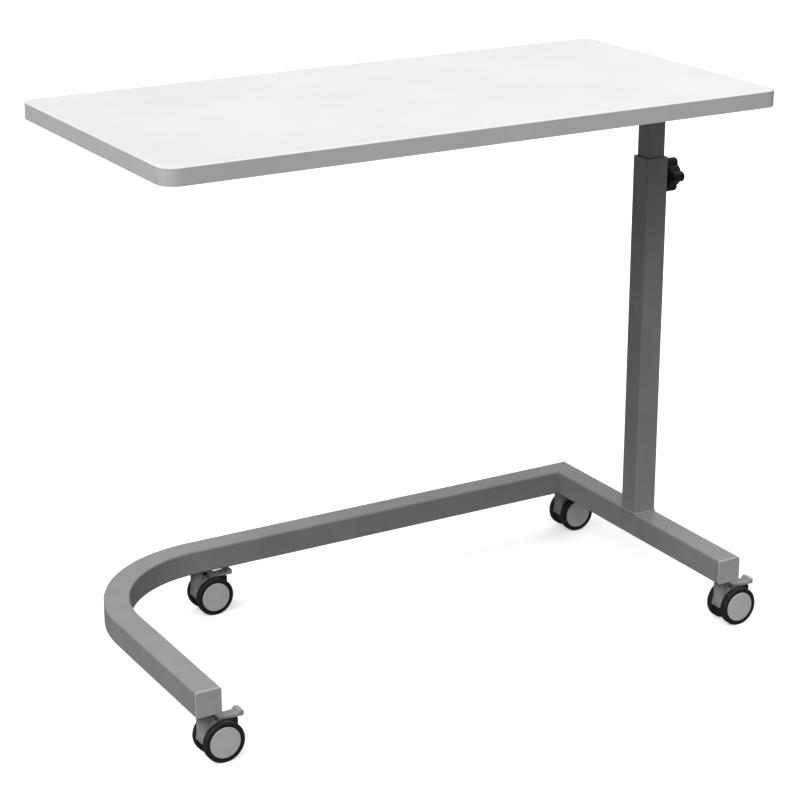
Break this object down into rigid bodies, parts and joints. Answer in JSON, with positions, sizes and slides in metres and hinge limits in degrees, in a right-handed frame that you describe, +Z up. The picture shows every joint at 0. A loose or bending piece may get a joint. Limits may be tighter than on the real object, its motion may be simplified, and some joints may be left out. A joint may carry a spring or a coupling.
{
  "type": "overbed table",
  "caption": "Overbed table: rectangular top on a telescoping square mast with a side clamp knob, on a C-shaped tube base with braked swivel casters.",
  "frame": {"origin": "on the floor, at the middle of the whole object's plan outline (tabletop's left edge to the right-hand pedal tips)", "axes": "+X along the tabletop towards the column, +Y across it away from the open front of the base, +Z up"},
  "size_m": [0.8094, 0.4, 0.69],
  "materials": {
    "white_laminate": "satin white melamine laminate",
    "backing_sheet": "plain white backing laminate",
    "panel_core": "particle board",
    "edge_band_grey": "satin grey edge band",
    "frame_paint": "satin grey powder coat",
    "grey_plastic": "moulded grey plastic",
    "black_plastic": "moulded black plastic",
    "zinc_steel": "zinc plated",
    "brass_pad": "plain turned",
    "hood_grey": "moulded mid grey plastic",
    "pedal_grey": "moulded light grey plastic",
    "hub_grey": "moulded light grey plastic",
    "wheel_core": "moulded dark grey plastic",
    "tyre_black": "solid black tread"
  },
  "bodies": {
    "base": {"column_rail": "frame_paint", "curved_rail": "frame_paint", "end_caps": "grey_plastic", "caster_sleeves": "zinc_steel", "outer_column": "frame_paint", "guide_bush": "black_plastic", "clamp_boss": "frame_paint", "caster_front_right_stem": "zinc_steel", "caster_back_right_stem": "zinc_steel", "caster_back_left_stem": "zinc_steel", "caster_front_left_stem": "zinc_steel"},
    "table": {"tabletop_panel": "panel_core", "upper_laminate": "white_laminate", "lower_laminate": "backing_sheet", "edge_band": "edge_band_grey", "cross_bars": "frame_paint", "panel_screws": "zinc_steel", "support_beam": "frame_paint", "beam_end_plugs": "grey_plastic", "inner_mast": "frame_paint", "mast_foot": "black_plastic"},
    "clamp_pad": {"clamp_pad": "brass_pad"},
    "clamp_knob": {"clamp_knob": "black_plastic", "clamp_stud": "zinc_steel"},
    "caster_front_right_hood": {"caster_front_right_hood": "hood_grey", "caster_front_right_pins": "zinc_steel"},
    "caster_front_right_near_wheel": {"caster_front_right_near_wheel": "wheel_core", "caster_front_right_near_tyre": "tyre_black", "caster_front_right_near_hub_cap": "hub_grey"},
    "caster_front_right_far_wheel": {"caster_front_right_far_wheel": "wheel_core", "caster_front_right_far_tyre": "tyre_black", "caster_front_right_far_hub_cap": "hub_grey"},
    "caster_front_right_pedal": {"caster_front_right_brake_pedal": "pedal_grey"},
    "caster_back_right_hood": {"caster_back_right_hood": "hood_grey", "caster_back_right_pins": "zinc_steel"},
    "caster_back_right_near_wheel": {"caster_back_right_near_wheel": "wheel_core", "caster_back_right_near_tyre": "tyre_black", "caster_back_right_near_hub_cap": "hub_grey"},
    "caster_back_right_far_wheel": {"caster_back_right_far_wheel": "wheel_core", "caster_back_right_far_tyre": "tyre_black", "caster_back_right_far_hub_cap": "hub_grey"},
    "caster_back_right_pedal": {"caster_back_right_brake_pedal": "pedal_grey"},
    "caster_back_left_hood": {"caster_back_left_hood": "hood_grey", "caster_back_left_pins": "zinc_steel"},
    "caster_back_left_near_wheel": {"caster_back_left_near_wheel": "wheel_core", "caster_back_left_near_tyre": "tyre_black", "caster_back_left_near_hub_cap": "hub_grey"},
    "caster_back_left_far_wheel": {"caster_back_left_far_wheel": "wheel_core", "caster_back_left_far_tyre": "tyre_black", "caster_back_left_far_hub_cap": "hub_grey"},
    "caster_back_left_pedal": {"caster_back_left_brake_pedal": "pedal_grey"},
    "caster_front_left_hood": {"caster_front_left_hood": "hood_grey", "caster_front_left_pins": "zinc_steel"},
    "caster_front_left_near_wheel": {"caster_front_left_near_wheel": "wheel_core", "caster_front_left_near_tyre": "tyre_black", "caster_front_left_near_hub_cap": "hub_grey"},
    "caster_front_left_far_wheel": {"caster_front_left_far_wheel": "wheel_core", "caster_front_left_far_tyre": "tyre_black", "caster_front_left_far_hub_cap": "hub_grey"},
    "caster_front_left_pedal": {"caster_front_left_brake_pedal": "pedal_grey"}
  },
  "joints": [
    {"name": "height_slide", "type": "slide", "parent": "base", "child": "table", "axis": [0, 0, 1], "range_m": [-0.06, 0.3]},
    {"name": "clamp_pad_slide", "type": "slide", "parent": "base", "child": "clamp_pad", "axis": [1, 0, 0], "range_m": [0, 0.00251]},
    {"name": "clamp_knob_turn", "type": "hinge", "parent": "clamp_pad", "child": "clamp_knob", "pos_m": [0.37275, 0, 0.5465], "axis": [1, 0, 0], "range_deg": [0, 720]},
    {"name": "caster_front_right_swivel", "type": "hinge", "parent": "base", "child": "caster_front_right_hood", "pos_m": [0.35675, -0.1815, 0.06], "axis": [0, 0, 1], "continuous": true},
    {"name": "caster_front_right_near_roll", "type": "hinge", "parent": "caster_front_right_hood", "child": "caster_front_right_near_wheel", "pos_m": [0.37475, -0.1815, 0.025], "axis": [0, 1, 0], "continuous": true},
    {"name": "caster_front_right_far_roll", "type": "hinge", "parent": "caster_front_right_hood", "child": "caster_front_right_far_wheel", "pos_m": [0.37475, -0.1815, 0.025], "axis": [0, 1, 0], "continuous": true},
    {"name": "caster_front_right_brake", "type": "hinge", "parent": "caster_front_right_hood", "child": "caster_front_right_pedal", "pos_m": [0.37675, -0.1815, 0.042], "axis": [0, -1, 0], "range_deg": [0, 8]},
    {"name": "caster_back_right_swivel", "type": "hinge", "parent": "base", "child": "caster_back_right_hood", "pos_m": [0.35675, 0.1815, 0.06], "axis": [0, 0, 1], "continuous": true},
    {"name": "caster_back_right_near_roll", "type": "hinge", "parent": "caster_back_right_hood", "child": "caster_back_right_near_wheel", "pos_m": [0.37475, 0.1815, 0.025], "axis": [0, 1, 0], "continuous": true},
    {"name": "caster_back_right_far_roll", "type": "hinge", "parent": "caster_back_right_hood", "child": "caster_back_right_far_wheel", "pos_m": [0.37475, 0.1815, 0.025], "axis": [0, 1, 0], "continuous": true},
    {"name": "caster_back_right_brake", "type": "hinge", "parent": "caster_back_right_hood", "child": "caster_back_right_pedal", "pos_m": [0.37675, 0.1815, 0.042], "axis": [0, -1, 0], "range_deg": [0, 8]},
    {"name": "caster_back_left_swivel", "type": "hinge", "parent": "base", "child": "caster_back_left_hood", "pos_m": [-0.20675, 0.1815, 0.06], "axis": [0, 0, 1], "continuous": true},
    {"name": "caster_back_left_near_roll", "type": "hinge", "parent": "caster_back_left_hood", "child": "caster_back_left_near_wheel", "pos_m": [-0.18875, 0.1815, 0.025], "axis": [0, 1, 0], "continuous": true},
    {"name": "caster_back_left_far_roll", "type": "hinge", "parent": "caster_back_left_hood", "child": "caster_back_left_far_wheel", "pos_m": [-0.18875, 0.1815, 0.025], "axis": [0, 1, 0], "continuous": true},
    {"name": "caster_back_left_brake", "type": "hinge", "parent": "caster_back_left_hood", "child": "caster_back_left_pedal", "pos_m": [-0.18675, 0.1815, 0.042], "axis": [0, -1, 0], "range_deg": [0, 8]},
    {"name": "caster_front_left_swivel", "type": "hinge", "parent": "base", "child": "caster_front_left_hood", "pos_m": [-0.37125, -0.1815, 0.06], "axis": [0, 0, 1], "continuous": true},
    {"name": "caster_front_left_near_roll", "type": "hinge", "parent": "caster_front_left_hood", "child": "caster_front_left_near_wheel", "pos_m": [-0.35325, -0.1815, 0.025], "axis": [0, 1, 0], "continuous": true},
    {"name": "caster_front_left_far_roll", "type": "hinge", "parent": "caster_front_left_hood", "child": "caster_front_left_far_wheel", "pos_m": [-0.35325, -0.1815, 0.025], "axis": [0, 1, 0], "continuous": true},
    {"name": "caster_front_left_brake", "type": "hinge", "parent": "caster_front_left_hood", "child": "caster_front_left_pedal", "pos_m": [-0.35125, -0.1815, 0.042], "axis": [0, -1, 0], "range_deg": [0, 8]}
  ],
  "couplings": [
    {"joint": "clamp_pad_slide", "follows": "clamp_knob_turn", "m_per_rad": 0.00019894}
  ]
}
